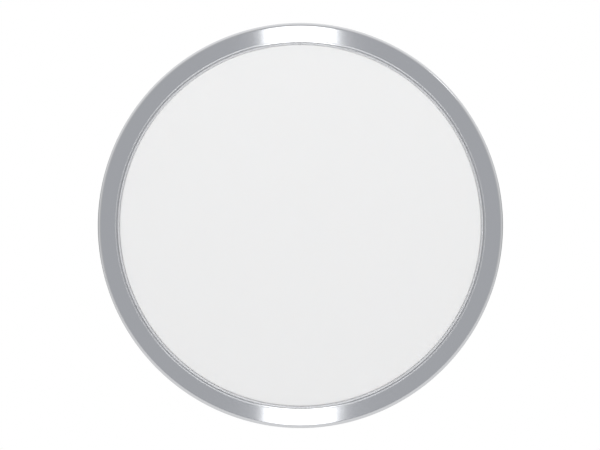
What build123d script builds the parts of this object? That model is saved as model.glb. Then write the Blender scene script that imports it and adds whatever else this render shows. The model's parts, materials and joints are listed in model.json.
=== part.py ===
"""Round wall thermostat: a white press-to-select face inside a turning metal ring, on a clip-off wall base.

Bench frame used while modelling: the wall is the plane z = 0, z grows towards the viewer and y is up.
Every piece is turned at export into the part's own frame: +Z up, the wall at Y = 0 and the face towards -Y.
The origin is the middle of the two wall screw holes, on the wall. Lengths are millimetres.
"""

from build123d import *
from math import cos, radians, sin
import os

# ---------------------------------------------------------------- driving dimensions
RING_RADIUS = 42.0  # widest part of the thermostat
RING_FRONT = 29.0  # wall to the ring's flat front
RING_BACK = 17.0
FACE_RADIUS = 37.45
FACE_EDGE = 28.7  # wall to the front of the face at its edge, a little behind the ring
FACE_CROWN = 0.3  # how far the middle of the face stands above its edge
FACE_ROUNDING = 0.25
BEZEL_RADIUS = 37.93
BEZEL_FRONT = 28.55
LIP_RADIUS = 38.0  # the ring's inner lip, which turns just outside the bezel
LIP_STEP_RADIUS = 38.24  # inner edge of the ring's flat front
LIP_DEPTH = 0.45  # from the ring's front back to the lip
FACE_TRAVEL = 0.5  # press to select
TAB_TRAVEL = 0.8  # press to let a wire go
SCREW_SPACING = 60.0  # between the two wall screws
WALL_SCREW_HOLE = 2.1  # radius
BONDED = 0.05  # gap left between curved faces that are glued or pressed together
RUNNING = 0.1  # gap round pieces that slide in a guide

# ---------------------------------------------------------------- wall base
PLATE_RADIUS = 36.0
PLATE_THICK = 2.0
RIM_HEIGHT = 6.5
RIM_WALL = 1.4
GUIDE_RADIUS = 37.8  # pads on the rim that centre the head
WIRE_HOLE = (22.0, 24.0)
BASE_BOARD = (2.6, 3.6)  # back and front of the terminal circuit board
BLOCK_FRONT = 8.4
BLOCK_X = (14.5, 26.5)
BLOCK_HALF_LENGTH = 13.5
TERMINAL_PITCH = 6.4
TERMINALS_PER_SIDE = 4
SOCKET_Y = -19.0
CONTACT_PITCH = 1.8
CONTACTS_PER_ROW = 8
LEVEL_Y = 18.5
LEVEL_RADIUS = 2.8
BASE_SCREWS = ((-20.5, -19.5), (20.5, -19.5), (-26.0, 17.2), (26.0, 17.2))  # of the terminal circuit board
SPRING_STAKES = tuple((side * 32.8, y) for side in (1, -1) for y in (-1.5, 1.5))

# ---------------------------------------------------------------- head
SKIRT_BACK = 1.0
SKIRT_INNER = 38.0
SKIRT_OUTER_BACK = 39.4
SKIRT_OUTER_FRONT = 40.0
SKIRT_FRONT = 16.0
WALL_BACK, WALL_FRONT = 9.8, 10.8  # the head's back wall
CELL_RADIUS = 5.25
CELL_LENGTH = 43.7  # without the button
CELL_BUTTON = 0.8
CELL_Z = 15.4
CELL_Y = (5.4, 16.2)
BAY_HALF = 23.8  # half the length of the battery bay
BAY_Y = (-0.1, 21.7)
BAY_FRONT = 20.9
BAY_WALL = 0.8
SOUNDER_AT = (-21.5, -12.5)
FRAME_INNER, FRAME_OUTER = 36.3, 37.9
FRAME_SHOULDER = (20.9, 21.9)
NECK_INNER, NECK_OUTER, NECK_FRONT = 33.8, 36.0, 26.1
CIRCLIP = (25.1, 25.6)  # back and front of its groove in the neck
LEDGE = (23.0, 24.2)
LEDGE_INNER = 28.5
MAIN_BOARD = (22.0, 23.0)
MAIN_BOARD_RADIUS = 30.0
DISPLAY_BOARD = (24.2, 25.0)
DISPLAY_BOARD_RADIUS = 29.5
LED_PITCH = 3.4
LED_COLUMNS, LED_ROWS = 11, 5
SWITCH_Y = -26.0
FACE_BACK = 27.4
CARRIER_BACK = 26.7

# ---------------------------------------------------------------- ring bearing
BALL_RADIUS = 1.0
BALL_PITCH_RADIUS = 38.1
BALL_COUNT = 30
BALL_Z = 23.5
RACE_GROOVE = 1.05  # radius of the groove in both races
RACE_HALF_WIDTH = 1.6

POST_RADIUS = 31.6  # circle of the face's three guide posts
POST_ANGLES = (90, 210, 330)
BOARD_EAR_ANGLES = (30, 150, 270)
HOUSING_SCREW_RADIUS = 33.6
HOUSING_SCREW_ANGLES = (65, 115, 220, 320)
VENT_ANGLES = tuple(centre + step * 5 for centre in (90, 270) for step in range(-4, 5))


# ---------------------------------------------------------------- shapes
def block(x, y, z, edge=0.0):
    """Box between pairs of limits, with its edges along z rounded."""
    middle = Pos((x[0] + x[1]) / 2, (y[0] + y[1]) / 2, (z[0] + z[1]) / 2)
    made = middle * Box(x[1] - x[0], y[1] - y[0], z[1] - z[0])
    return fillet(made.edges().filter_by(Axis.Z), edge) if edge else made


def rod(x, y, radius, z):
    """Cylinder along z."""
    return Pos(x, y, (z[0] + z[1]) / 2) * Cylinder(radius, z[1] - z[0])


def tube(outer, inner, z, x=0.0, y=0.0):
    """Hollow cylinder along z."""
    return rod(x, y, outer, z) - rod(x, y, inner, (z[0] - 1, z[1] + 1))


def turned(points, rounds=None):
    """Solid of revolution about z from an outline of (radius, height) points; rounds rounds some corners."""
    corner = [(rounds or {}).get(i, 0) for i in range(len(points))]
    outline = FilletPolyline(*[(r, 0, z) for r, z in points], radius=corner, close=True)
    return revolve(make_face(outline), Axis.Z)


def side_profile(points, width, thickness, bend):
    """Bent sheet: a line of (x, z) points with rounded bends, thickened, and width long in y."""
    line = FilletPolyline(*points, radius=bend)
    return Rot(90, 0, 0) * extrude(trace(line, line_width=thickness), width / 2, both=True)


def on_circle(radius, angle):
    return radius * cos(radians(angle)), radius * sin(radians(angle))


def at_angle(shape, angle):
    return Rot(0, 0, angle) * shape


def grow(first, *others):
    """Union of shapes."""
    made = first
    for other in others:
        made = made + other
    return made


def group(shapes):
    """Separate solids kept as one node."""
    return Compound([solid for shape in shapes for solid in shape.solids()])


def screw(head_radius, head_height, shank_radius, length):
    """Pan-head screw standing on its head at z = 0, its shank along +z, with a cross recess in the head."""
    outline = [(0, -head_height), (head_radius, -head_height), (head_radius, 0), (0, 0)]
    head = turned(outline, {1: head_height * 0.6})
    slot = Pos(0, 0, -head_height) * Box(head_radius * 1.2, head_radius * 0.28, head_height * 1.3)
    shank = rod(0, 0, shank_radius, (0, length - shank_radius))
    tip = Pos(0, 0, length - shank_radius / 2) * Cone(shank_radius, shank_radius * 0.4, shank_radius)
    return head - slot - Rot(0, 0, 90) * slot + shank + tip


def coil(radius, wire, turns, height):
    """Helical spring of round wire along z, from 0 to height over its wire."""
    path = Pos(0, 0, wire) * Helix((height - 2 * wire) / turns, height - 2 * wire, radius)
    section = Plane(origin=path @ 0, z_dir=path % 0) * Circle(wire)
    return sweep(section, path=path)


PIECES = {}


def keep(name, shape):
    """Turns a piece from the bench frame into the part's frame and files it under its node's name."""
    PIECES[name] = Compound([Rot(90, 0, 0) * solid for solid in shape.solids()])


# ---------------------------------------------------------------- wall base
def base_plate():
    plate = turned(
        [(0, 0), (PLATE_RADIUS, 0), (PLATE_RADIUS, RIM_HEIGHT), (PLATE_RADIUS - RIM_WALL, RIM_HEIGHT),
         (PLATE_RADIUS - RIM_WALL, PLATE_THICK), (0, PLATE_THICK)],
        {1: 0.4, 2: 0.4, 4: 0.8},
    )
    # shallow pockets in the back leave a rim and eight ribs against the wall
    pocket = tube(PLATE_RADIUS - 2.4, 19.5, (-1, 0.7))
    for rib in range(8):
        pocket = pocket - at_angle(block((15, 40), (-0.9, 0.9), (-2, 2)), 22.5 + 45 * rib)
    for end in (-1, 1):
        pocket = pocket - rod(0, end * SCREW_SPACING / 2, 6.4, (-2, 2))
    plate = plate - pocket
    # the rim opens beside each retaining spring
    for end in (-1, 1):
        plate = plate - block((end * 35 - 3.2, end * 35 + 3.2), (-4.2, 4.2), (PLATE_THICK, 10))
    # wall screw bosses with seats for pan heads
    for end in (-1, 1):
        y = end * SCREW_SPACING / 2
        plate = plate + rod(0, y, 5.5, (0, 3.4))
        plate = plate - rod(0, y, 4.3, (2.2, 9)) - rod(0, y, WALL_SCREW_HOLE, (-1, 5))
    # wire opening with a raised lip
    wide, tall = WIRE_HOLE
    lip = block((-wide / 2 - 1, wide / 2 + 1), (-tall / 2 - 1, tall / 2 + 1), (0, 2.5), 4)
    plate = plate + lip - block((-wide / 2, wide / 2), (-tall / 2, tall / 2), (-1, 5), 3)
    # pads that centre the head, and the key that stops it turning
    for angle in (30, 150, 210, 330):
        plate = plate + at_angle(block((PLATE_RADIUS - 0.6, GUIDE_RADIUS), (-1.5, 1.5), (1.2, 5.8)), angle)
    plate = plate + block((-2, 2), (PLATE_RADIUS - 0.6, SKIRT_INNER + 0.5), (1.2, 5.8))
    # stakes that hold the feet of the retaining springs
    stake = turned([(0, 1.5), (0.8, 1.5), (0.8, 2.38), (1.35, 2.38), (1.35, 3.0), (0, 3.0)], {4: 0.4})
    for x, y in SPRING_STAKES:
        plate = plate + Pos(x, y, 0) * stake
    # seats for the circuit board, with pilot holes, and cradles for the level
    for x, y in BASE_SCREWS:
        plate = plate + rod(x, y, 2.2, (PLATE_THICK - 0.5, BASE_BOARD[0]))
        plate = plate - rod(x, y, 0.8, (1.0, 9))
    cradles = grow(*[block((x - 1, x + 1), (LEVEL_Y - 3.8, LEVEL_Y + 3.8), (1.5, 5.6)) for x in (-7.6, 7.6)])
    plate = plate + (cradles - level_tube_shape(LEVEL_RADIUS + BONDED, 30))
    # two raised arrows that point up
    arrow = extrude(make_face(Polyline((-1.6, 0), (1.6, 0), (0, 2.8), close=True)), 0.5)
    return grow(plate, *[Pos(x, 25.2, PLATE_THICK - 0.15) * arrow for x in (-11, 11)])


def level_tube_shape(radius, length):
    return Pos(0, LEVEL_Y, 5.4) * Rot(0, 90, 0) * Cylinder(radius, length)


def level():
    inside = level_tube_shape(LEVEL_RADIUS - 0.7, 17)
    vial = level_tube_shape(LEVEL_RADIUS, 19) - inside
    # two lines mark the middle, as rings proud of the tube
    line = level_tube_shape(LEVEL_RADIUS + 0.12, 0.3) - level_tube_shape(LEVEL_RADIUS - 0.2, 1)
    for x in (-2.6, 2.6):
        vial = vial + Pos(x, 0, 0) * line
    bubble = Pos(0, LEVEL_Y, 6.5) * scale(Sphere(1.0), (2.0, 0.95, 0.85))
    fluid = level_tube_shape(LEVEL_RADIUS - 0.7 - BONDED, 16.9) - bubble
    keep("level_vial", vial)
    keep("level_fluid", fluid)


def base_board():
    outline = block((-29, 29), (-24, 21), BASE_BOARD, 3) - block((-12.6, 12.6), (-13.6, 30), (0, 9))
    outline = outline & rod(0, 0, 33.6, (0, 9))
    outline = outline - rod(0, -SCREW_SPACING / 2, 6.2, (0, 9))
    for x, y in BASE_SCREWS:
        outline = outline - rod(x, y, 1.1, (0, 9))
    keep("terminal_circuit_board", outline)
    fixing = screw(1.8, 1.0, 0.75, 2.4)
    screws = [Pos(x, y, BASE_BOARD[1]) * Rot(180, 0, 0) * fixing for x, y in BASE_SCREWS]
    keep("terminal_board_screws", group(screws))


def terminal_places():
    """(side, y) of every terminal, counted down each side."""
    for side in (-1, 1):
        for n in range(TERMINALS_PER_SIDE):
            yield side, (TERMINALS_PER_SIDE - 1 - 2 * n) * TERMINAL_PITCH / 2


def mirrored(shape, side):
    return shape if side > 0 else mirror(shape, Plane.YZ)


def terminal_block():
    """Right-hand block: wires enter from the middle of the base, and each chamber has a slot for its tab."""
    body = block(BLOCK_X, (-BLOCK_HALF_LENGTH, BLOCK_HALF_LENGTH), (BASE_BOARD[1], BLOCK_FRONT), 0.8)
    body = chamfer(body.faces().sort_by(Axis.Z)[-1].edges(), 0.4)
    port_z = 5.3
    for n in range(TERMINALS_PER_SIDE):
        y = (TERMINALS_PER_SIDE - 1 - 2 * n) * TERMINAL_PITCH / 2
        chamber = block((17.5, 25.6), (y - 1.9, y + 1.9), (3.9, 6.6))
        port = block((13, 18), (y - 1.0, y + 1.0), (port_z - 1.0, port_z + 1.0))
        mouth = loft([
            Plane.YZ.offset(BLOCK_X[0] - 0.01) * Pos(y, port_z) * Rectangle(3.4, 3.0),
            Plane.YZ.offset(BLOCK_X[0] + 1.2) * Pos(y, port_z) * Rectangle(2.0, 2.0),
        ])
        slot = block((20.0, 25.2), (y - 1.6, y + 1.6), (6, 9))
        body = body - chamber - port - mouth - slot
    # shallow lines between the terminals
    for n in range(1, TERMINALS_PER_SIDE):
        y = (TERMINALS_PER_SIDE / 2 - n) * TERMINAL_PITCH
        body = body - block((14, 27), (y - 0.2, y + 0.2), (BLOCK_FRONT - 0.35, 9))
    return body


def terminal_tab():
    """Release tab at y = 0 on the right-hand side: a foot keeps it in, ridges give a screwdriver grip."""
    tab = block((20.2, 25.0), (-1.4, 1.4), (5.9, 9.2))
    tab = fillet(tab.faces().sort_by(Axis.Z)[-1].edges(), 0.35)
    foot = block((20.2, 25.0), (-1.8, 1.8), (5.9, 6.5))
    grips = [block((x - 0.2, x + 0.2), (-2, 2), (9.0, 10)) for x in (21.6, 22.6, 23.6)]
    return tab + foot - grow(*grips)


def terminal_clip():
    """Spring clip at y = 0 on the right-hand side: a foot on the board and a sprung leaf under the tab."""
    line = [(18.2, 4.8), (18.0, 4.02), (25.0, 4.02), (25.2, 4.6), (20.2, 4.88), (19.0, 5.5)]
    return side_profile(line, 2.6, 0.2, [0.25, 0.25, 0.25, 0.6])


def terminals():
    right = terminal_block()
    keep("terminal_block_right", right)
    keep("terminal_block_left", mirrored(right, -1))
    tab, clip = terminal_tab(), terminal_clip()
    clips = []
    for count, (side, y) in enumerate(terminal_places(), 1):
        keep(f"terminal_tab_{count}", Pos(0, y, 0) * mirrored(tab, side))
        clips.append(Pos(0, y, 0) * mirrored(clip, side))
    keep("terminal_clips", group(clips))


def contact_row_x():
    return [(n - (CONTACTS_PER_ROW - 1) / 2) * CONTACT_PITCH for n in range(CONTACTS_PER_ROW)]


def base_socket():
    body = block((-9, 9), (SOCKET_Y - 2.5, SOCKET_Y + 2.5), (BASE_BOARD[1], 8.0), 0.5)
    body = body - block((-8, 8), (SOCKET_Y - 1.5, SOCKET_Y + 1.5), (4.8, 9))
    lead = side_profile([(1.38, 5.0), (1.25, 5.6), (1.0, 6.4), (1.25, 7.3)], 0.7, 0.16, 0.3)
    lead = Rot(0, 0, 90) * lead
    contacts = []
    for x in contact_row_x():
        contacts.append(Pos(x, SOCKET_Y, 0) * lead)
        contacts.append(Pos(x, SOCKET_Y, 0) * Rot(0, 0, 180) * lead)
    keep("base_socket", body)
    keep("base_socket_contacts", group(contacts))


def retaining_springs():
    """Two leaf springs whose bulge snaps into the groove inside the head's skirt."""
    line = [(31.4, 2.2), (35.3, 2.2), (36.3, 3.6), (38.37, 5.0), (36.4, 6.6), (36.0, 8.6)]
    leaf = side_profile(line, 5.6, 0.3, [0.5, 0.5, 0.35, 0.5])
    for x, y in SPRING_STAKES[:2]:
        leaf = leaf - rod(x, y, 0.8 + RUNNING, (0, 4))
    keep("retaining_springs", group([mirrored(leaf, side) for side in (1, -1)]))


def draft_seal():
    """Foam frame in the front of the wire opening's lip; it closes round the wires."""
    wide, tall = WIRE_HOLE
    outer = block((-wide / 2 - 1, wide / 2 + 1), (-tall / 2 - 1, tall / 2 + 1), (2.5, 3.5), 4)
    return outer - block((-wide / 2 + 1.2, wide / 2 - 1.2), (-tall / 2 + 1.2, tall / 2 - 1.2), (1, 5), 2.4)


# ---------------------------------------------------------------- head: housing and power
def vents(radius):
    slit = block((radius - 4, radius + 6), (-0.6, 0.6), (11.6, 14.8))
    return grow(*[at_angle(slit, angle) for angle in VENT_ANGLES])


def rear_housing():
    shell = turned(
        [(0, WALL_BACK), (SKIRT_INNER, WALL_BACK), (SKIRT_INNER, SKIRT_BACK), (SKIRT_OUTER_BACK, SKIRT_BACK),
         (SKIRT_OUTER_FRONT, SKIRT_FRONT), (SKIRT_INNER, SKIRT_FRONT), (SKIRT_INNER, WALL_FRONT),
         (0, WALL_FRONT)],
        {1: 0.6, 3: 0.5, 4: 0.3},
    )
    bay_out = block((-BAY_HALF - BAY_WALL, BAY_HALF + BAY_WALL), (BAY_Y[0] - BAY_WALL, BAY_Y[1] + BAY_WALL),
                    (WALL_BACK, BAY_FRONT + BAY_WALL), 1.2)
    shell = shell + bay_out
    for angle in HOUSING_SCREW_ANGLES:
        shell = shell - rod(*on_circle(HOUSING_SCREW_RADIUS, angle), 1.2, (8, 12))
    # posts for the interface board and for the temperature board
    for x in (-11.2, 11.2):
        shell = shell + (rod(x, -15.0, 1.8, (WALL_FRONT - 0.5, 12.0)) - rod(x, -15.0, 0.75, (10.4, 13)))
    for x in (-3.2, 3.2):
        shell = shell + rod(x, -29.4, 1.2, (WALL_FRONT - 0.5, 12.0))
    shell = shell + tube(6.3, 5.2, (WALL_FRONT - 0.2, 11.1), *SOUNDER_AT)
    # battery bay, open at the back, with a web between the cells
    bay = block((-BAY_HALF, BAY_HALF), BAY_Y, (0, BAY_FRONT), 0.6)
    between = (CELL_Y[0] + CELL_Y[1]) / 2
    web = block((-12, 12), (between - 0.25, between + 0.25), (17.5, BAY_FRONT + 0.3))
    shell = shell - bay + (web - cell_shape(CELL_Y[0], RUNNING) - cell_shape(CELL_Y[1], RUNNING))
    for y in CELL_Y:
        for side in (-1, 1):
            x = side * (BAY_HALF - 0.2)
            shell = shell - block((x - 0.35, x + 0.35), (y - 1.3, y + 1.3), (BAY_FRONT - 1, BAY_FRONT + 2))
    # opening for the plug, sound holes, snap groove, key way and vents
    shell = shell - block((-10, 10), (SOCKET_Y - 2.8, SOCKET_Y + 2.8), (5, 12), 0.6)
    for hole_x, hole_y in sound_holes():
        shell = shell - rod(hole_x, hole_y, 0.5, (5, 12))
    shell = shell - tube(SKIRT_INNER + 0.5, SKIRT_INNER - 1, (4.1, 5.9))
    shell = shell - block((-2.2, 2.2), (35, SKIRT_INNER + 0.7), (-1, 7.5))
    return shell - vents(SKIRT_INNER) + polarity_marks()


def polarity_marks():
    """Raised plus and minus beside each end of the two cells."""
    length, width, z = 3.0, 0.6, (WALL_BACK - 0.3, WALL_BACK + 0.1)
    marks = []
    for y, plus_side in ((CELL_Y[0], 1), (CELL_Y[1], -1)):
        for side in (-1, 1):
            x = side * 27.5
            marks.append(block((x - length / 2, x + length / 2), (y - width / 2, y + width / 2), z))
            if side == plus_side:
                marks.append(block((x - width / 2, x + width / 2), (y - length / 2, y + length / 2), z))
    return grow(*marks)


def cell_shape(y, extra=0.0):
    return Pos(0, y, CELL_Z) * Rot(0, 90, 0) * Cylinder(CELL_RADIUS + extra, CELL_LENGTH + 4 * extra)


def battery():
    """AAA cell along x, its positive end at +x: can, shoulder and button as one solid."""
    half = CELL_LENGTH / 2
    outline = [
        (0, -half), (CELL_RADIUS - 1.4, -half), (CELL_RADIUS - 0.9, -half + 0.25),
        (CELL_RADIUS, -half + 0.25), (CELL_RADIUS, half - 0.2), (CELL_RADIUS - 0.8, half),
        (1.9, half), (1.9, half + CELL_BUTTON), (0, half + CELL_BUTTON),
    ]
    return Rot(0, 90, 0) * turned(outline, {3: 0.5, 4: 0.3, 7: 0.25})


def batteries():
    # each cell's button touches a plate, and a spring on the opposite plate presses its flat end
    plate_face = BAY_HALF - 0.33
    shift = plate_face - 0.02 - CELL_LENGTH / 2 - CELL_BUTTON
    cell = battery()
    keep("battery_lower", Pos(shift, CELL_Y[0], CELL_Z) * cell)
    keep("battery_upper", Pos(-shift, CELL_Y[1], CELL_Z) * Rot(0, 0, 180) * cell)
    spring = coil(2.6, 0.25, 2.0, plate_face - CELL_LENGTH / 2 + shift - 0.04)
    contacts = []
    for y, side in ((CELL_Y[0], -1), (CELL_Y[1], 1)):
        plate = block((plate_face, plate_face + 0.3), (y - 4.2, y + 4.2), (CELL_Z - 4.4, CELL_Z + 4.4))
        leg = block((plate_face, plate_face + 0.3), (y - 1, y + 1), (CELL_Z, MAIN_BOARD[0] - 0.02))
        contacts += [plate + leg, mirrored(plate + leg, -1)]
        contacts.append(Pos(side * (plate_face - 0.02), y, CELL_Z) * Rot(0, -90 * side, 0) * spring)
    keep("battery_contacts", group(contacts))


def sound_holes():
    yield SOUNDER_AT
    for n in range(6):
        dx, dy = on_circle(2.4, 60 * n)
        yield SOUNDER_AT[0] + dx, SOUNDER_AT[1] + dy


def sounder():
    """Brass disc with its ceramic bonded on, resting on the housing's ring."""
    keep("sounder", rod(*SOUNDER_AT, 6.0, (11.12, 11.32)) + rod(*SOUNDER_AT, 4.4, (11.3, 11.55)))


def housing_screws():
    fixing = screw(2.1, 1.1, 1.0, 8.5)
    spots = [on_circle(HOUSING_SCREW_RADIUS, a) for a in HOUSING_SCREW_ANGLES]
    keep("housing_screws", group([Pos(x, y, WALL_BACK) * fixing for x, y in spots]))


def interface():
    board = block((-13, 13), (-24, -13), (12.0, 13.0), 0.8)
    for x in (-11.2, 11.2):
        board = board - rod(x, -15.0, 1.0, (11, 14))
    keep("interface_board", board)
    body = block((-9.4, 9.4), (SOCKET_Y - 2.2, SOCKET_Y + 2.2), (8.3, 12.0), 0.5)
    tongue = block((-7.6, 7.6), (SOCKET_Y - 0.6, SOCKET_Y + 0.6), (5.3, 8.3))
    keep("head_plug", body + chamfer(tongue.faces().sort_by(Axis.Z)[0].edges(), 0.2))
    pads = []
    for x in contact_row_x():
        for side in (-1, 1):
            inner, outer = SOCKET_Y + side * 0.6, SOCKET_Y + side * 0.74
            pads.append(block((x - 0.45, x + 0.45), (min(inner, outer), max(inner, outer)), (5.7, 8.2)))
    keep("head_plug_contacts", group(pads))


def temperature_board():
    board = block((-4.6, 4.6), (-35.2, -28.2), (12.0, 12.8), 0.5)
    # a slot round the chip keeps the board's warmth away from it
    slots = block((-2.6, -2.1), (-34.4, -31.4), (11, 14)) + block((2.1, 2.6), (-34.4, -31.4), (11, 14))
    slots = slots + block((-2.6, 2.6), (-31.6, -31.1), (11, 14))
    keep("temperature_board", board - slots)


# ---------------------------------------------------------------- head: frame and electronics
def middle_frame():
    frame = turned([
        (FRAME_INNER, 10.9), (FRAME_OUTER, 10.9), (FRAME_OUTER, FRAME_SHOULDER[1]),
        (NECK_OUTER, FRAME_SHOULDER[1]), (NECK_OUTER, NECK_FRONT), (NECK_INNER, NECK_FRONT),
        (NECK_INNER, LEDGE[1]), (LEDGE_INNER, LEDGE[1]), (LEDGE_INNER, LEDGE[0]), (NECK_INNER, LEDGE[0]),
        (NECK_INNER, FRAME_SHOULDER[0]), (FRAME_INNER, FRAME_SHOULDER[0]),
    ], {4: 0.3})
    for angle in HOUSING_SCREW_ANGLES:
        x, y = on_circle(HOUSING_SCREW_RADIUS, angle)
        boss = rod(x, y, 3.0, (WALL_FRONT + 0.1, 21.5)) & rod(0, 0, FRAME_INNER + 0.5, (0, 30))
        frame = frame + boss - rod(x, y, 1.0 + BONDED, (9, 19))
    for angle in POST_ANGLES:
        frame = frame - rod(*on_circle(POST_RADIUS, angle), 1.2 + RUNNING, (22, 25))
    for angle in BOARD_EAR_ANGLES:
        frame = frame - rod(*on_circle(POST_RADIUS, angle), 0.7, (22, 24.0))
    # groove for the circlip, window for the ring sensors, vents
    frame = frame - tube(40, NECK_OUTER - 0.5, CIRCLIP)
    frame = frame - block((35.5, 37.0), (-5.1, 5.1), (14.8, 20.7))
    frame = frame - block((36.5, 39), (-4.2, 4.2), (17.8, 20.4))
    return frame - vents(FRAME_OUTER)


def circlip():
    clip = tube(37.0, NECK_OUTER - 0.45, (CIRCLIP[0] + 0.02, CIRCLIP[1] - 0.02))
    mouth = at_angle(block((30, 40), (-2.6, 2.6), (20, 30)), 45)
    eyes = []
    for swing in (-6, 6):
        eyes.append(tube(0.9, 0.4, (CIRCLIP[0] + 0.02, CIRCLIP[1] - 0.02), *on_circle(36.9, 45 + swing)))
    clip = clip - mouth
    for swing in (-6, 6):
        clip = clip - rod(*on_circle(36.9, 45 + swing), 0.85, (20, 30))
    return clip + eyes[0] + eyes[1]


def ring_sensor_flex():
    """Flexible circuit: a stiff end that stands in the frame's pocket and a strip to the main board."""
    stiff = block((36.35, 36.9), (-4.8, 4.8), (15.0, 20.5))
    strip = side_profile([(36.5, 20.2), (30.8, 20.2), (30.0, 21.4), (29.4, 21.4)], 4.0, 0.16, 0.5)
    keep("ring_sensor_flex", stiff + strip)


def sensor_chips():
    """One temperature chip, and the two chips that watch the ring's magnet."""
    yield block((-1.3, 1.3), (-34.4, -31.8), (12.8, 13.7), 0.15)
    for y in (-2.6, 2.6):
        yield block((36.9, 37.6), (y - 1.1, y + 1.1), (18.2, 20.0))


def main_board():
    board = rod(0, 0, MAIN_BOARD_RADIUS, MAIN_BOARD)
    for angle in BOARD_EAR_ANGLES:
        x, y = on_circle(POST_RADIUS, angle)
        ear = at_angle(block((27, POST_RADIUS + 0.4), (-2.2, 2.2), MAIN_BOARD), angle)
        board = board + ear + rod(x, y, 2.0, MAIN_BOARD) - rod(x, y, 0.9, (20, 25))
    for angle in POST_ANGLES:
        board = board - rod(*on_circle(POST_RADIUS, angle), 2.6, (20, 25))
    keep("main_board", board)
    fixing = screw(1.7, 0.8, 0.65, 1.9)
    screws = [Pos(*on_circle(POST_RADIUS, a), MAIN_BOARD[0]) * fixing for a in BOARD_EAR_ANGLES]
    screws += [Pos(x, -15.0, 13.0) * Rot(180, 0, 0) * fixing for x in (-11.2, 11.2)]
    keep("board_screws", group(screws))


def board_parts():
    back = MAIN_BOARD[0]
    processor = block((9.0, 18.0), (-13.5, -4.5), (back - 1.1, back), 0.3)
    radio = block((-19.5, -13.5), (-12.4, -6.4), (back - 1.0, back), 0.2)
    keep("main_chips", group([processor, radio]))
    can = block((-24, -10), (-15.4, -3.4), (back - 2.4, back), 0.8)
    keep("radio_shield", can - block((-23.7, -10.3), (-15.1, -3.7), (back - 2.1, back + 1)))
    small = []
    for row, y in enumerate((-19.4, -21.2, -23.0)):
        for n in range(7):
            x = -12 + 4 * n + 0.7 * row
            small.append(block((x - 0.8, x + 0.8), (y - 0.42, y + 0.42), (back - 0.7, back)))
    for x, y in ((20.6, -6.0), (20.6, -8.2), (20.6, -10.4), (7.2, -6.0), (7.2, -8.2), (7.2, -10.4)):
        small.append(block((x - 0.42, x + 0.42), (y - 0.8, y + 0.8), (back - 0.7, back)))
    keep("board_small_parts", group(small))
    cans = [rod(x, -26.2, 1.9, (back - 4.2, back)) for x in (-9.5, 9.5)]
    power = [fillet(can.edges().sort_by(Axis.Z)[0], 0.4) for can in cans]
    power.append(block((19.0, 24.0), (-18.6, -13.6), (back - 2.8, back), 1.2))
    keep("power_parts", group(power))


def wiring():
    back = MAIN_BOARD[0]
    keep("board_connectors", group([
        block((-5, 5), (-17.6, -14.0), (13.0, 14.6), 0.3),
        block((-5, 5), (-17.2, -13.6), (back - 1.6, back), 0.3),
        block((26.4, 29.4), (-3, 3), (back - 1.2, back), 0.2),
        block((-6, 6), (19.5, 23.0), (MAIN_BOARD[1], DISPLAY_BOARD[0]), 0.3),
    ]))
    plug_loop = [(-14.0, 13.9), (-9.0, 13.9), (-6.0, 17.4), (-9.0, 21.1), (-13.6, 21.1)]
    strip = [(-30.4, 12.95), (-29.2, 12.95), (-27.6, 15.0), (-27.6, 19.0), (-27.6, back - 0.02)]
    cables = [
        Rot(0, 0, 90) * side_profile(plug_loop, 8.0, 0.2, [1.2, 2.5, 1.2]),
        Rot(0, 0, 90) * side_profile([strip[0], strip[1], strip[2], strip[4]], 3.0, 0.2, [0.6, 0.8]),
    ]
    # two leads stand on the sounder, one on its brass and one on its ceramic
    cables.append(rod(SOUNDER_AT[0], -17.2, 0.35, (11.34, back - 0.02)))
    cables.append(rod(SOUNDER_AT[0] + 2.2, -16.1, 0.35, (11.57, back - 0.02)))
    keep("internal_cables", group(cables))


def led_places():
    for row in range(LED_ROWS):
        for column in range(LED_COLUMNS):
            yield (column - (LED_COLUMNS - 1) / 2) * LED_PITCH, (row - (LED_ROWS - 1) / 2) * LED_PITCH


def display():
    front = DISPLAY_BOARD[1]
    board = rod(0, 0, DISPLAY_BOARD_RADIUS, DISPLAY_BOARD)
    keep("display_board", board)
    lamp = block((-0.5, 0.5), (-0.5, 0.5), (front, front + 0.45))
    keep("display_lamps", group([Pos(x, y, 0) * lamp for x, y in led_places()]))
    half_x = LED_COLUMNS * LED_PITCH / 2 + 1.2
    half_y = LED_ROWS * LED_PITCH / 2 + 1.2
    baffle = block((-half_x, half_x), (-half_y, half_y), (front + 0.02, front + 1.6), 1.2)
    cells = [block((x - 1.2, x + 1.2), (y - 1.2, y + 1.2), (front - 1, front + 3)) for x, y in led_places()]
    keep("light_baffle", baffle - cells)


def select_switch():
    front = DISPLAY_BOARD[1]
    body = block((-2.3, 2.3), (SWITCH_Y - 2.3, SWITCH_Y + 2.3), (front, front + 0.95), 0.4)
    keep("select_switch_body", body - rod(0, SWITCH_Y, 1.0 + RUNNING, (front + 0.25, 30)))
    keep("select_switch_stem", rod(0, SWITCH_Y, 1.0, (front + 0.85, CARRIER_BACK - 0.03)))


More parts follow.
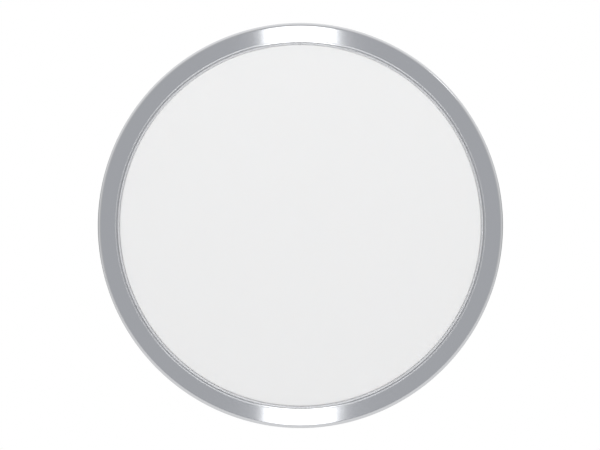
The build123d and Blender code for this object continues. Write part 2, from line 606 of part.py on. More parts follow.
# ---------------------------------------------------------------- face, moves in to select
def face():
    rim_point = (FACE_RADIUS, 0, FACE_EDGE - FACE_ROUNDING)
    start_of_round = (FACE_RADIUS - FACE_ROUNDING, 0, FACE_EDGE)
    inset = FACE_ROUNDING * (1 - cos(radians(45)))
    on_round = (FACE_RADIUS - inset, 0, FACE_EDGE - inset)
    middle = (0, 0, FACE_EDGE + FACE_CROWN)
    halfway = (FACE_RADIUS / 2, 0, FACE_EDGE + FACE_CROWN * 0.75)
    crown = ThreePointArc(middle, halfway, start_of_round)
    rounding = ThreePointArc(start_of_round, on_round, rim_point)
    sides = Polyline(rim_point, (FACE_RADIUS, 0, FACE_BACK), (0, 0, FACE_BACK), middle)
    keep("face_cover", revolve(make_face([crown, rounding, *sides.edges()]), Axis.Z))
    bezel = turned(
        [(FACE_RADIUS + BONDED, FACE_BACK), (36.65, FACE_BACK), (36.65, 26.95), (BEZEL_RADIUS, 26.95),
         (BEZEL_RADIUS, BEZEL_FRONT), (FACE_RADIUS + BONDED, BEZEL_FRONT)],
        {4: 0.06, 5: 0.05},
    )
    keep("face_bezel", bezel)
    carrier = tube(36.6, 27.6, (CARRIER_BACK, FACE_BACK))
    carrier = carrier + block((-3, 3), (SWITCH_Y - 2.4, SWITCH_Y + 1.4), (CARRIER_BACK, FACE_BACK), 0.8)
    for angle in POST_ANGLES:
        x, y = on_circle(POST_RADIUS, angle)
        carrier = carrier + rod(x, y, 1.2, (22.9, CARRIER_BACK + 0.2)) - rod(x, y, 0.6, (21, 26.0))
    keep("face_carrier", carrier)
    stop = screw(1.8, 0.75, 0.6 - BONDED, 2.9)
    keep("face_stop_screws", group([Pos(*on_circle(POST_RADIUS, a), 22.9) * stop for a in POST_ANGLES]))
    spring = coil(1.55, 0.15, 3.5, CARRIER_BACK - LEDGE[1] - 0.04)
    springs = [Pos(*on_circle(POST_RADIUS, a), LEDGE[1] + 0.02) * spring for a in POST_ANGLES]
    keep("face_return_springs", group(springs))


# ---------------------------------------------------------------- ring and its bearing
def race(land, back):
    """Race ring between its land and its back radius, with a round groove for the balls."""
    z = (BALL_Z - RACE_HALF_WIDTH, BALL_Z + RACE_HALF_WIDTH)
    body = tube(max(land, back), min(land, back), z)
    groove = revolve(Plane.XZ * Pos(BALL_PITCH_RADIUS, BALL_Z) * Circle(RACE_GROOVE), Axis.Z)
    return body - groove


def bearing():
    keep("bearing_inner_race", race(37.6, NECK_OUTER + BONDED))
    keep("bearing_outer_race", race(38.6, 39.9))
    ball = Sphere(BALL_RADIUS)
    angles = [360 / BALL_COUNT * n for n in range(BALL_COUNT)]
    keep("bearing_balls", group([Pos(*on_circle(BALL_PITCH_RADIUS, a), BALL_Z) * ball for a in angles]))
    cage = tube(38.35, 37.85, (BALL_Z - 1.45, BALL_Z + 1.45))
    pocket = Pos(BALL_PITCH_RADIUS, 0, BALL_Z) * Rot(0, 90, 0) * Cylinder(BALL_RADIUS + 0.08, 4)
    cage = cage - [at_angle(pocket, a) for a in angles]
    keep("bearing_cage", cage)


def ring():
    inner_wall = 40.6
    profile = [
        (41.4, RING_BACK), (RING_RADIUS, RING_FRONT - 2.2), (RING_RADIUS, RING_FRONT),
        (LIP_STEP_RADIUS, RING_FRONT), (LIP_STEP_RADIUS, RING_FRONT - LIP_DEPTH),
        (LIP_RADIUS, RING_FRONT - LIP_DEPTH), (LIP_RADIUS, 27.6), (inner_wall, 27.6), (inner_wall, RING_BACK),
    ]
    keep("control_ring", turned(profile, {0: 0.3, 2: 0.7, 3: 0.15, 7: 0.3}))
    carrier = [
        (39.95, 17.45), (inner_wall - BONDED, 17.45), (inner_wall - BONDED, 27.2), (39.0, 27.2),
        (39.0, 25.15), (39.95, 25.15),
    ]
    keep("ring_carrier", turned(carrier))
    keep("ring_magnet", tube(39.9, 38.7, (18.3, BALL_Z - RACE_HALF_WIDTH)))
    retainer = turned(
        [(38.25, 16.6), (41.1, 16.6), (41.1, 17.0), (inner_wall - BONDED, 17.0), (inner_wall - BONDED, 17.4),
         (39.8, 17.4), (39.8, 18.25), (38.9, 18.25), (38.9, 17.4), (38.25, 17.4)],
        {1: 0.2},
    )
    # small notches for the tool that turns the retainer out
    for n in range(6):
        retainer = retainer - at_angle(block((40.2, 42), (-1.2, 1.2), (16, 16.9)), 30 + 60 * n)
    keep("ring_retainer", retainer)


def main():
    keep("base_plate", base_plate())
    keep("draft_seal", draft_seal())
    level()
    base_board()
    terminals()
    base_socket()
    retaining_springs()
    keep("rear_housing", rear_housing())
    batteries()
    sounder()
    housing_screws()
    interface()
    temperature_board()
    keep("sensor_chips", group(sensor_chips()))
    keep("middle_frame", middle_frame())
    keep("bearing_circlip", circlip())
    ring_sensor_flex()
    main_board()
    board_parts()
    wiring()
    display()
    select_switch()
    face()
    bearing()
    ring()
    os.makedirs("parts", exist_ok=True)
    for name, shape in PIECES.items():
        export_step(shape, f"parts/{name}.step")
    print(len(PIECES), "nodes written")


main()
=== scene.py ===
"""Looks, light and camera for the round wall thermostat. Lengths are metres, in the part's own frame."""

import json
import math

import bmesh
import bpy
from mathutils import Matrix, Vector


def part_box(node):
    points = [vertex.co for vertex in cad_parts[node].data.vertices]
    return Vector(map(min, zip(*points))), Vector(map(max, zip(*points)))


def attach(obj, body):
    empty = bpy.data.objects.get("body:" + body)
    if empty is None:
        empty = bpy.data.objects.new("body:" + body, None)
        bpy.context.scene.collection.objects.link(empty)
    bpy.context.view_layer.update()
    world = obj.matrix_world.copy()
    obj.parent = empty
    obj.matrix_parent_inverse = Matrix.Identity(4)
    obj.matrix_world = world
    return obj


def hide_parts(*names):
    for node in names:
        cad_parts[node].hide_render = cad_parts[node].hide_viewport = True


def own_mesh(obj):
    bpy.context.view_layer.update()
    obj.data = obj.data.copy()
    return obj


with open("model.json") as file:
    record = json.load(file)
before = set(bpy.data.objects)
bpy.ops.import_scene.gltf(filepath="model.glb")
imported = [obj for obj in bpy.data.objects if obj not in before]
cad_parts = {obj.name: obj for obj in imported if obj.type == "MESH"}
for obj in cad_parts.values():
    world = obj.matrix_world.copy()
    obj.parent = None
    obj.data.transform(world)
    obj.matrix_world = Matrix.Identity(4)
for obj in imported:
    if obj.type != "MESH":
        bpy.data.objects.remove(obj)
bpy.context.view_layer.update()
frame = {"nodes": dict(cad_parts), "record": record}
nodes = frame["nodes"]
MM = 0.001

# ---------------------------------------------------------------- dimensions as in the CAD, millimetres
RING_RADIUS = 42.0
RING_FRONT = 29.0  # from the wall to the ring's flat front
RING_BACK = 17.0
RING_BACK_RADIUS = 41.4
RING_TAPER = 2.2  # height below the front where the side stops widening
RING_BORE = 40.6
RING_WEB_BACK = 27.6  # back of the flat part of the ring that reaches in over its bearing
FACE_RADIUS = 37.45
FACE_EDGE = 28.7
FACE_BACK = 27.4
FACE_CROWN = 0.3
FACE_ROUNDING = 0.25
BEZEL_RADIUS = 37.95
BEZEL_FRONT = 28.55
BEZEL_FOOT_RADIUS = 36.65  # the bezel turns in behind the face as far as this
BEZEL_BACK = 26.95
BEZEL_GAP = 0.02  # between the face and its bezel
LIP_RADIUS = 37.99  # the ring's inner lip, which runs just outside the bezel
LIP_STEP_RADIUS = 38.24  # inner edge of the ring's flat front
LIP_DEPTH = 0.45
POST_RADIUS = 31.6  # circle of the face's guide posts and their springs
POST_ANGLES = (90, 210, 330)
SPRING_RADIUS = 1.55
SPRING_WIRE = 0.15
SPRING_TURNS = 4.5
SPRING_END_TURNS = 0.75  # closed turns at each end
SEGMENTS = 360  # round each turned piece
ON_AXIS = 1e-9
TERMINALS_PER_SIDE = 4
CERAMIC_RADIUS = 4.42  # of the sounder
CERAMIC_BACK = -11.33  # along Y
NUMBER_HEIGHT = 2.2
NUMBER_THICKNESS = 0.02

# ---------------------------------------------------------------- camera and light
FRAME_WIDTH_MM = 124.26  # width of the view at the ring's front
CAMERA_DISTANCE = 0.70
STRIP_BEHIND_CAMERA = 0.5  # the tall thin light that makes the ring's two bright bands
OFF_CENTRE_MM = (-0.083, 0.10)  # the camera's small offset from the face's axis, across and up
AHEAD = (0.555, 0.565, 0.585)  # the studio straight in front of the thermostat, behind the camera
AHEAD_ANGLES = (28, 9)  # degrees from the face's axis, from where that part fades in to where it is full
NEAR, FAR = 0.60, 0.96  # brightness of the rest, from round the camera to beside the thermostat
ZENITH = 1.17
BEHIND_DIP = 0.6  # how much darker the far side of the room is at eye level
EYE_LEVEL_DIP = 0.3  # the same beside and behind the thermostat, in a thinner band that metal picks up
FLOOR_FADE = (0.45, 1.4)  # the floor melts into the white room between these distances
FLOOR_HEIGHT = -0.25
FLOOR_RADIUS = 2.2


# ---------------------------------------------------------------- turned meshes
def place_in_scene(name, data):
    obj = bpy.data.objects.new(name, data)
    bpy.context.scene.collection.objects.link(obj)
    return obj


def around(angle):
    """Unit vector in the face's plane, angle in radians from +X towards +Z."""
    return Vector((math.cos(angle), 0, math.sin(angle)))


def outline(points, rounds, steps=10):
    """Closed outline of (radius, height) corners as a list of (start, start normal, end, end normal)."""
    count = len(points)
    corners = [Vector(p) for p in points]
    area = sum(corners[i].cross(corners[(i + 1) % count]) for i in range(count))
    turn = 1 if area > 0 else -1
    ends = []
    for i, corner in enumerate(corners):
        radius = rounds.get(i, 0)
        before = (corners[i - 1] - corner).normalized()
        after = (corners[(i + 1) % count] - corner).normalized()
        if not radius:
            ends.append((corner, corner, []))
            continue
        half = before.angle(after) / 2
        reach = radius / math.tan(half)
        centre = corner + (before + after).normalized() * radius / math.sin(half)
        start, end = corner + before * reach, corner + after * reach
        bulges = turn * (-before).cross(after) > 0
        sweep = (start - centre).angle_signed(end - centre)
        arc = []
        for k in range(steps):
            pair = []
            for t in (k / steps, (k + 1) / steps):
                arm = start - centre
                arm.rotate(Matrix.Rotation(-sweep * t, 2))
                pair += [centre + arm, arm.normalized() * (1 if bulges else -1)]
            arc.append(tuple(pair))
        ends.append((start, end, arc))
    pieces = []
    for i in range(count):
        start, end = ends[i - 1][1], ends[i][0]
        if (end - start).length > 1e-6:
            way = (end - start).normalized()
            normal = Vector((way.y, -way.x)) * turn
            pieces.append((start, normal, end, normal))
        pieces += ends[i][2]
    return pieces


def turned(name, pieces):
    """Mesh turned about the face's axis from an outline's pieces, with the outline's exact normals."""
    verts, faces, normals = [], [], []
    for start, start_normal, end, end_normal in pieces:
        base = len(verts)
        for k in range(SEGMENTS):
            out = around(2 * math.pi * k / SEGMENTS)
            for point in (start, end):
                verts.append((out * point.x + Vector((0, -point.y, 0))) * MM)
        for k in range(SEGMENTS):
            a, b = k, (k + 1) % SEGMENTS
            quad = [base + 2 * a, base + 2 * a + 1, base + 2 * b + 1, base + 2 * b]
            bends = [(start_normal, a), (end_normal, a), (end_normal, b), (start_normal, b)]
            # a piece that meets the axis makes triangles
            if start.x < ON_AXIS:
                quad, bends = quad[:3], bends[:3]
            elif end.x < ON_AXIS:
                quad, bends = [quad[0], quad[1], quad[3]], [bends[0], bends[1], bends[3]]
            made = []
            for normal, step in bends:
                made.append(around(2 * math.pi * step / SEGMENTS) * normal.x + Vector((0, -normal.y, 0)))
            corners = [verts[i] for i in quad]
            facing = (corners[1] - corners[0]).cross(corners[2] - corners[0])
            if facing.dot(made[0] + made[1] + made[2]) < 0:
                quad, made = quad[::-1], made[::-1]
            faces.append(quad)
            normals += made
    mesh = bpy.data.meshes.new(name)
    mesh.from_pydata(verts, [], faces)
    mesh.polygons.foreach_set("use_smooth", [True] * len(faces))
    mesh.normals_split_custom_set(normals)
    mesh.update()
    return place_in_scene(name, mesh)


def control_ring():
    lip = RING_FRONT - LIP_DEPTH
    points = [
        (RING_BACK_RADIUS, RING_BACK),
        (RING_RADIUS, RING_FRONT - RING_TAPER),
        (RING_RADIUS, RING_FRONT),
        (LIP_STEP_RADIUS, RING_FRONT),
        (LIP_STEP_RADIUS, lip),
        (LIP_RADIUS, lip),
        (LIP_RADIUS, RING_WEB_BACK),
        (RING_BORE, RING_WEB_BACK),
        (RING_BORE, RING_BACK),
    ]
    roundings = {0: 0.3, 1: 4.0, 2: 0.7, 3: 0.15, 5: 0.05, 7: 0.3}  # by corner, in the order above
    return turned("control_ring_polished", outline(points, roundings))


def face_cover():
    """The slightly crowned face, with a small rounding at its edge."""
    crown_end = FACE_RADIUS - FACE_ROUNDING
    rings, steps = 24, 12
    crown = []
    for k in range(rings + 1):
        r = crown_end * k / rings
        slope = 2 * FACE_CROWN * r / crown_end**2
        height = FACE_EDGE + FACE_CROWN * (1 - (r / crown_end) ** 2)
        crown.append((Vector((r, height)), Vector((slope, 1)).normalized()))
    pieces = [(*crown[k], *crown[k + 1]) for k in range(rings)]
    corner = Vector((crown_end, FACE_EDGE - FACE_ROUNDING))
    for k in range(steps):
        pair = []
        for t in (k / steps, (k + 1) / steps):
            a = math.pi / 2 * (1 - t)
            arm = Vector((math.cos(a), math.sin(a)))
            pair += [corner + arm * FACE_ROUNDING, arm]
        pieces.append(tuple(pair))
    side, back = Vector((1, 0)), Vector((0, -1))
    low = Vector((FACE_RADIUS, FACE_BACK))
    pieces.append((Vector((FACE_RADIUS, FACE_EDGE - FACE_ROUNDING)), side, low, side))
    pieces.append((low, back, Vector((0, FACE_BACK)), back))
    return turned("face_cover_moulded", pieces)


def face_bezel():
    inner = FACE_RADIUS + BEZEL_GAP
    points = [
        (inner, FACE_BACK),
        (BEZEL_FOOT_RADIUS, FACE_BACK),
        (BEZEL_FOOT_RADIUS, BEZEL_BACK),
        (BEZEL_RADIUS, BEZEL_BACK),
        (BEZEL_RADIUS, BEZEL_FRONT),
        (inner, BEZEL_FRONT),
    ]
    roundings = {4: 0.06, 5: 0.05}
    return turned("face_bezel_brushed", outline(points, roundings, steps=6))


def spring_height(turn):
    """Height of the wire's middle after so many turns: the end turns lie closed, the rest is open."""
    low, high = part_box("face_return_springs")
    wire = SPRING_WIRE * MM
    end_rise = 2 * wire * SPRING_END_TURNS
    open_rise = high.y - low.y - 2 * wire - 2 * end_rise
    open_turns = SPRING_TURNS - 2 * SPRING_END_TURNS
    closed = min(turn, SPRING_END_TURNS) + max(0.0, turn - SPRING_TURNS + SPRING_END_TURNS)
    opened = min(max(0.0, turn - SPRING_END_TURNS), open_turns)
    return wire + 2 * wire * closed + open_rise * opened / open_turns


def return_springs():
    """The three coil springs behind the face, in one mesh."""
    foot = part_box("face_return_springs")[1].y
    wire = SPRING_WIRE * MM
    steps, sides = 144, 10
    section = [2 * math.pi * n / sides for n in range(sides)]
    build = bmesh.new()
    for post in POST_ANGLES:
        middle = around(math.radians(post)) * POST_RADIUS * MM
        loops = []
        for k in range(steps + 1):
            turn = SPRING_TURNS * k / steps
            out = around(2 * math.pi * turn)
            centre = middle + out * SPRING_RADIUS * MM + Vector((0, foot - spring_height(turn), 0))
            arms = [out * math.cos(a) + Vector((0, math.sin(a), 0)) for a in section]
            loops.append([build.verts.new(centre + arm * wire) for arm in arms])
        for near, far in zip(loops, loops[1:]):
            for n in range(sides):
                m = (n + 1) % sides
                build.faces.new((near[n], near[m], far[m], far[n])).smooth = True
        build.faces.new(loops[0])
        build.faces.new(loops[-1])
    bmesh.ops.recalc_face_normals(build, faces=build.faces)
    mesh = bpy.data.meshes.new("face_return_coils")
    build.to_mesh(mesh)
    build.free()
    return place_in_scene("face_return_coils", mesh)


def printed_number(number, place):
    """Mesh of one number printed on a surface that faces -Y."""
    curve = bpy.data.curves.new("number", "FONT")
    curve.body = str(number)
    curve.size = NUMBER_HEIGHT * MM * 1.4  # a digit is about 0.7 of the font's size
    curve.align_x, curve.align_y = "CENTER", "CENTER"
    curve.extrude = NUMBER_THICKNESS * MM
    text = bpy.data.objects.new("number", curve)
    mesh = bpy.data.meshes.new_from_object(text)
    mesh.transform(Matrix.Translation(place) @ Matrix.Rotation(math.pi / 2, 4, "X"))
    bpy.data.objects.remove(text)
    bpy.data.curves.remove(curve)
    return mesh


def terminal_numbers(side):
    """Printed numbers beside the four release tabs of one terminal block, joined into one mesh."""
    word = "right" if side > 0 else "left"
    block_low, block_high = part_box(f"terminal_block_{word}")
    first = 1 + TERMINALS_PER_SIDE if side > 0 else 1
    build = bmesh.new()
    for number in range(first, first + TERMINALS_PER_SIDE):
        tab_low, tab_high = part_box(f"terminal_tab_{number}")
        block_edge = block_low.x if side > 0 else block_high.x
        tab_edge = tab_low.x if side > 0 else tab_high.x
        front = block_low.y - NUMBER_THICKNESS * MM
        place = ((block_edge + tab_edge) / 2, front, (tab_low.z + tab_high.z) / 2)
        mesh = printed_number(number, place)
        build.from_mesh(mesh)
        bpy.data.meshes.remove(mesh)
    joined = bpy.data.meshes.new(f"terminal_numbers_{word}")
    build.to_mesh(joined)
    build.free()
    return place_in_scene(f"terminal_numbers_{word}", joined)


# ---------------------------------------------------------------- material building blocks
class Nodes:
    """Short ways to build a node tree; a value is a number or the socket that makes it."""

    def __init__(self, tree):
        self.tree = tree
        self.tree.nodes.clear()

    def node(self, kind, inputs=(), **settings):
        made = self.tree.nodes.new(kind)
        for key, value in settings.items():
            setattr(made, key, value)
        for key, value in dict(inputs).items():
            self.feed(made.inputs[key], value)
        return made

    def feed(self, socket, value):
        if isinstance(value, bpy.types.NodeSocket):
            self.tree.links.new(value, socket)
        else:
            socket.default_value = value

    def math(self, operation, *values):
        made = self.node("ShaderNodeMath", dict(enumerate(values)), operation=operation)
        return made.outputs[0]

    def ramp(self, value, low, high, to_low=0.0, to_high=1.0, kind="LINEAR"):
        inputs = {"Value": value, "From Min": low, "From Max": high, "To Min": to_low, "To Max": to_high}
        return self.node("ShaderNodeMapRange", inputs, interpolation_type=kind).outputs["Result"]

    def mix(self, factor, first, second):
        """Colour mix; first and second are colours or sockets."""
        made = self.node("ShaderNodeMix", data_type="RGBA")
        self.feed(made.inputs["Factor"], factor)
        for key, value in ((6, first), (7, second)):
            self.feed(made.inputs[key], value if isinstance(value, bpy.types.NodeSocket) else (*value, 1))
        return made.outputs[2]

    def product(self, *values):
        total = values[0]
        for value in values[1:]:
            total = self.math("MULTIPLY", total, value)
        return total

    def length(self, across, up):
        """Length of a flat vector from its two sockets."""
        return self.math("SQRT", self.math("ADD", self.product(across, across), self.product(up, up)))


class Surface(Nodes):
    """A material with one Principled shader, and the patterns that feed it."""

    def __init__(self, name, colour, roughness, metallic=0.0, **sockets):
        self.material = bpy.data.materials.new(name)
        self.material.use_nodes = True
        super().__init__(self.material.node_tree)
        self.shader = self.node("ShaderNodeBsdfPrincipled")
        self.output = self.node("ShaderNodeOutputMaterial", {"Surface": self.shader.outputs["BSDF"]})
        self.shader.inputs["Base Color"].default_value = (*colour, 1)
        self.shader.inputs["Roughness"].default_value = roughness
        self.shader.inputs["Metallic"].default_value = metallic
        for socket, value in sockets.items():
            self.shader.inputs[socket.replace("_", " ")].default_value = value
        self.material.diffuse_color = (*colour, 1)
        self.relief = None

    def place(self, stretch=(1, 1, 1), shift=(0, 0, 0)):
        """Position on the piece in millimetres, stretched along the axes."""
        where = self.node("ShaderNodeTexCoord").outputs["Object"]
        scale = tuple(s / MM for s in stretch)
        placed = self.node("ShaderNodeMapping", {"Vector": where, "Scale": scale, "Location": shift})
        return placed.outputs["Vector"]

    def axes(self):
        """The three position sockets, in millimetres."""
        return self.node("ShaderNodeSeparateXYZ", {"Vector": self.place()}).outputs

    def noise(self, scale, detail=2.0, roughness=0.5, where=None):
        inputs = {"Vector": where or self.place(), "Scale": scale, "Detail": detail, "Roughness": roughness}
        return self.node("ShaderNodeTexNoise", inputs).outputs[0]

    def cells(self, scale, randomness=1.0, where=None):
        """Distance to the nearest of many scattered points."""
        inputs = {"Vector": where or self.place(), "Scale": scale, "Randomness": randomness}
        return self.node("ShaderNodeTexVoronoi", inputs).outputs["Distance"]

    def colour(self, value):
        self.feed(self.shader.inputs["Base Color"], value)

    def crevices(self, value, reach_mm=1.2, darkest=0.6):
        """The colour, darkened a little in corners and recesses from an ambient occlusion reading: painted
        shade.
        """
        nearby = self.node("ShaderNodeAmbientOcclusion", {"Distance": reach_mm * MM}, samples=8)
        shade = self.ramp(nearby.outputs["AO"], 0.15, 0.85, darkest, 1.0)
        return self.mix(shade, (0, 0, 0), value)

    def roughness(self, value):
        self.feed(self.shader.inputs["Roughness"], value)

    def metallic(self, value):
        self.feed(self.shader.inputs["Metallic"], value)

    def bump(self, height, distance_mm):
        """Adds relief: height runs from 0 to 1, distance_mm is how deep that is."""
        made = self.node("ShaderNodeBump", {"Height": height, "Distance": distance_mm * MM})
        if self.relief:
            self.feed(made.inputs["Normal"], self.relief)
        self.relief = made.outputs["Normal"]
        self.feed(self.shader.inputs["Normal"], self.relief)

    def cover(self, other, where):
        """Shows another shader instead, where the mask is 1."""
        both = self.node("ShaderNodeMixShader", {0: where, 1: self.shader.outputs[0], 2: other.outputs[0]})
        self.feed(self.output.inputs["Surface"], both.outputs[0])

    def polar(self, radial, along, round_about):
        """Position for turned or lapped metal: radius, depth and angle, each with its own stretch."""
        axes = self.axes()
        radius = self.length(axes["X"], axes["Z"])
        angle = self.math("ARCTAN2", axes["Z"], axes["X"])
        parts = {
            "X": self.product(radius, radial),
            "Y": self.product(axes["Y"], along),
            "Z": self.product(angle, round_about),
        }
        return self.node("ShaderNodeCombineXYZ", parts).outputs[0]


def plastic(name, colour, roughness=0.45, grain_mm=0.12, depth_mm=0.006, tint=0.03, **sockets):
    """Moulded plastic: spark-eroded grain, faint colour drift, and gloss that varies a little."""
    s = Surface(name, colour, roughness, **sockets)
    drift = s.noise(0.09, 3.0)
    darker = tuple(c * (1 - tint) for c in colour)
    lighter = tuple(min(1.0, c * (1 + tint)) for c in colour)
    # the colour drift, darkened in corners and recesses with painted shade
    s.colour(s.crevices(s.mix(drift, darker, lighter)))
    s.roughness(s.ramp(s.noise(0.5, 4.0), 0.3, 0.7, roughness - 0.05, roughness + 0.06))
    s.bump(s.noise(1 / grain_mm, 2.0, 0.6), depth_mm)
    return s


def metal(name, colour, roughness, stretch=(1, 1, 1), line_mm=0.05, depth_mm=0.0015, where=None, wear=0.06):
    """Metal with fine lines along its short stretch, and patches that are a little duller."""
    s = Surface(name, colour, roughness, 1.0)
    at = where(s) if where else s.place(stretch)
    lines = s.noise(1 / line_mm, 3.0, 0.6, at)
    patches = s.noise(0.35, 4.0, 0.6)
    s.roughness(s.ramp(patches, 0.3, 0.75, roughness - wear / 2, roughness + wear))
    worn = s.mix(s.ramp(patches, 0.35, 0.8), colour, tuple(c * 0.88 for c in colour))
    # the worn colour, darkened strongly in corners and recesses with painted shade
    s.colour(s.crevices(worn, 0.6, 0.35))
    s.bump(lines, depth_mm)
    return s


# ---------------------------------------------------------------- the materials
def white_cover():
    """Satin translucent polycarbonate: a very fine, even grain under a soft gloss."""
    inside = {"Subsurface_Weight": 0.25, "Subsurface_Scale": 0.0012, "IOR": 1.49}
    s = Surface("white_cover", (0.85, 0.85, 0.85), 0.42, **inside)
    s.shader.inputs["Subsurface Radius"].default_value = (1.0, 0.95, 0.9)
    s.roughness(s.ramp(s.noise(0.12, 3.0), 0.3, 0.7, 0.40, 0.45))
    s.bump(s.noise(9.0, 2.0, 0.6), 0.0012)
    return s


def polished_metal():
    """Bright polished plate with the faintest lapping lines round the ring, and hairline wear."""
    s = Surface("polished_metal", (0.62, 0.627, 0.645), 0.042, 1.0)
    lapped = s.noise(1.0, 2.0, 0.5, s.polar(9.0, 9.0, 3.0))
    s.roughness(s.ramp(s.noise(0.16, 4.0, 0.6), 0.3, 0.7, 0.038, 0.046))
    s.bump(lapped, 0.00012)
    return s


def bright_trim():
    s = Surface("bright_trim", (0.79, 0.79, 0.80), 0.25, 1.0)
    s.bump(s.noise(1.0, 2.0, 0.6, s.polar(25.0, 25.0, 6.0)), 0.0006)
    s.roughness(s.ramp(s.noise(0.3, 3.0), 0.3, 0.7, 0.22, 0.28))
    return s


def board(name, mask, trace):
    """Circuit board: solder mask with tracks and vias on its faces, bare laminate on its edges."""
    s = Surface(name, mask, 0.32)
    axes = s.axes()
    flat = s.node("ShaderNodeCombineXYZ", {"X": axes["X"], "Y": axes["Z"]}).outputs[0]
    grid = {"Vector": flat, "Scale": 0.55, "Mortar Size": 0.055, "Mortar Smooth": 0.1, "Brick Width": 1.3,
            "Row Height": 0.42}
    lines = s.node("ShaderNodeTexBrick", grid).outputs["Fac"]
    tracks = s.product(lines, s.ramp(s.noise(0.16, 2.0), 0.48, 0.52))
    pour = s.ramp(s.noise(0.07, 1.0, 0.5, s.place(shift=(7, 3, 5))), 0.52, 0.54)
    copper = s.math("MAXIMUM", tracks, s.product(pour, 0.7))
    vias = s.cells(0.42, 0.75, flat)
    ring = s.math("LESS_THAN", vias, 0.11)
    painted_hole_shade = s.math("LESS_THAN", vias, 0.05)
    face = s.mix(copper, mask, trace)
    face = s.mix(ring, face, (0.72, 0.56, 0.26))
    # the vias' open bores, painted near-black: painted shade standing in for the holes
    face = s.mix(painted_hole_shade, face, (0.01, 0.01, 0.01))
    normal = s.node("ShaderNodeTexCoord").outputs["Normal"]
    facing = s.node("ShaderNodeSeparateXYZ", {"Vector": normal}).outputs["Y"]
    edge = s.math("LESS_THAN", s.math("ABSOLUTE", facing), 0.5)
    s.colour(s.mix(edge, face, (0.36, 0.36, 0.16)))
    s.metallic(s.product(s.math("SUBTRACT", ring, painted_hole_shade), s.math("SUBTRACT", 1.0, edge)))
    s.roughness(s.ramp(s.noise(1.2, 3.0), 0.3, 0.7, 0.26, 0.38))
    s.bump(copper, 0.02)
    s.bump(s.noise(4.0, 2.0), 0.004)
    return s


def foam():
    s = Surface("foam", (0.055, 0.055, 0.06), 0.95)
    pores = s.cells(3.2)
    # each pore darker towards its middle, where the bump sinks into a pit: painted shade
    s.colour(s.mix(s.ramp(pores, 0.05, 0.6), (0.02, 0.02, 0.022), (0.085, 0.085, 0.09)))
    s.bump(pores, 0.12)
    s.bump(s.noise(8.0, 3.0), 0.03)
    return s


def clear_tube():
    """Clear acrylic with two black sighting rings printed on it."""
    s = Surface("clear_tube", (0.97, 0.98, 0.97), 0.05, Transmission_Weight=1.0, IOR=1.49)
    x = s.math("ABSOLUTE", s.axes()["X"])
    line = s.math("LESS_THAN", s.math("ABSOLUTE", s.math("SUBTRACT", x, 2.6)), 0.17)
    ink = s.node("ShaderNodeBsdfPrincipled", {"Base Color": (0.015, 0.015, 0.015, 1), "Roughness": 0.4})
    s.cover(ink, line)
    s.bump(s.noise(0.8, 2.0), 0.004)
    return s


def level_liquid():
    s = Surface("level_liquid", (0.62, 0.86, 0.10), 0.02, Transmission_Weight=0.85, IOR=1.36)
    s.colour(s.mix(s.noise(0.3, 1.0), (0.60, 0.85, 0.08), (0.66, 0.88, 0.14)))
    return s


def cell_sleeve(node):
    """Battery: bare steel ends, a printed grey and blue sleeve with a pale ring, shrunk over the shoulders.
    """
    low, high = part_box(node)
    button_at_high = node == "battery_lower"
    s = Surface(f"sleeve_{node}", (0.3, 0.3, 0.3), 0.3)
    x = s.axes()["X"]
    if button_at_high:
        along = s.math("SUBTRACT", x, low.x / MM)
    else:
        along = s.math("SUBTRACT", high.x / MM, x)
    length = (high.x - low.x) / MM
    sleeve = s.product(s.math("GREATER_THAN", along, 0.45), s.math("LESS_THAN", along, length - 1.35))
    band = s.math("GREATER_THAN", along, length * 0.70)
    pin = s.math("LESS_THAN", s.math("ABSOLUTE", s.math("SUBTRACT", along, length * 0.685)), 0.35)
    printed = s.mix(band, (0.10, 0.11, 0.12), (0.03, 0.16, 0.34))
    printed = s.mix(pin, printed, (0.75, 0.76, 0.77))
    s.colour(s.mix(sleeve, (0.62, 0.61, 0.58), printed))
    s.metallic(s.ramp(sleeve, 0.0, 1.0, 1.0, 0.35))
    s.roughness(s.ramp(s.noise(0.8, 3.0), 0.3, 0.7, 0.24, 0.34))
    s.bump(s.noise(0.5, 2.0, 0.5, s.place((0.2, 1, 1))), 0.006)
    return s


def sounder_faces():
    """Brass disc with a pale ceramic in its middle, told apart by radius."""
    brass = (0.78, 0.58, 0.26)
    s = metal("brass", brass, 0.3)
    low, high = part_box("sounder")
    centre = (low + high) / 2 / MM
    axes = s.axes()
    far = s.length(s.math("SUBTRACT", axes["X"], centre.x), s.math("SUBTRACT", axes["Z"], centre.z))
    within = s.math("LESS_THAN", far, CERAMIC_RADIUS)
    ceramic = s.product(within, s.math("LESS_THAN", axes["Y"], CERAMIC_BACK))
    s.colour(s.mix(ceramic, brass, (0.80, 0.79, 0.74)))
    s.metallic(s.math("SUBTRACT", 1.0, s.product(ceramic, 0.8)))
    return s


def cable():
    s = Surface("cable", (0.55, 0.27, 0.05), 0.3)
    wave = {"Vector": s.place(), "Scale": 1.1, "Distortion": 0.0}
    stripes = s.node("ShaderNodeTexWave", wave, bands_direction="X").outputs["Fac"]
    s.colour(s.mix(s.ramp(stripes, 0.45, 0.55), (0.45, 0.20, 0.03), (0.70, 0.40, 0.10)))
    s.bump(stripes, 0.02)
    return s


def lathe_lines(s):
    return s.polar(1.0, 1.0, 0.6)


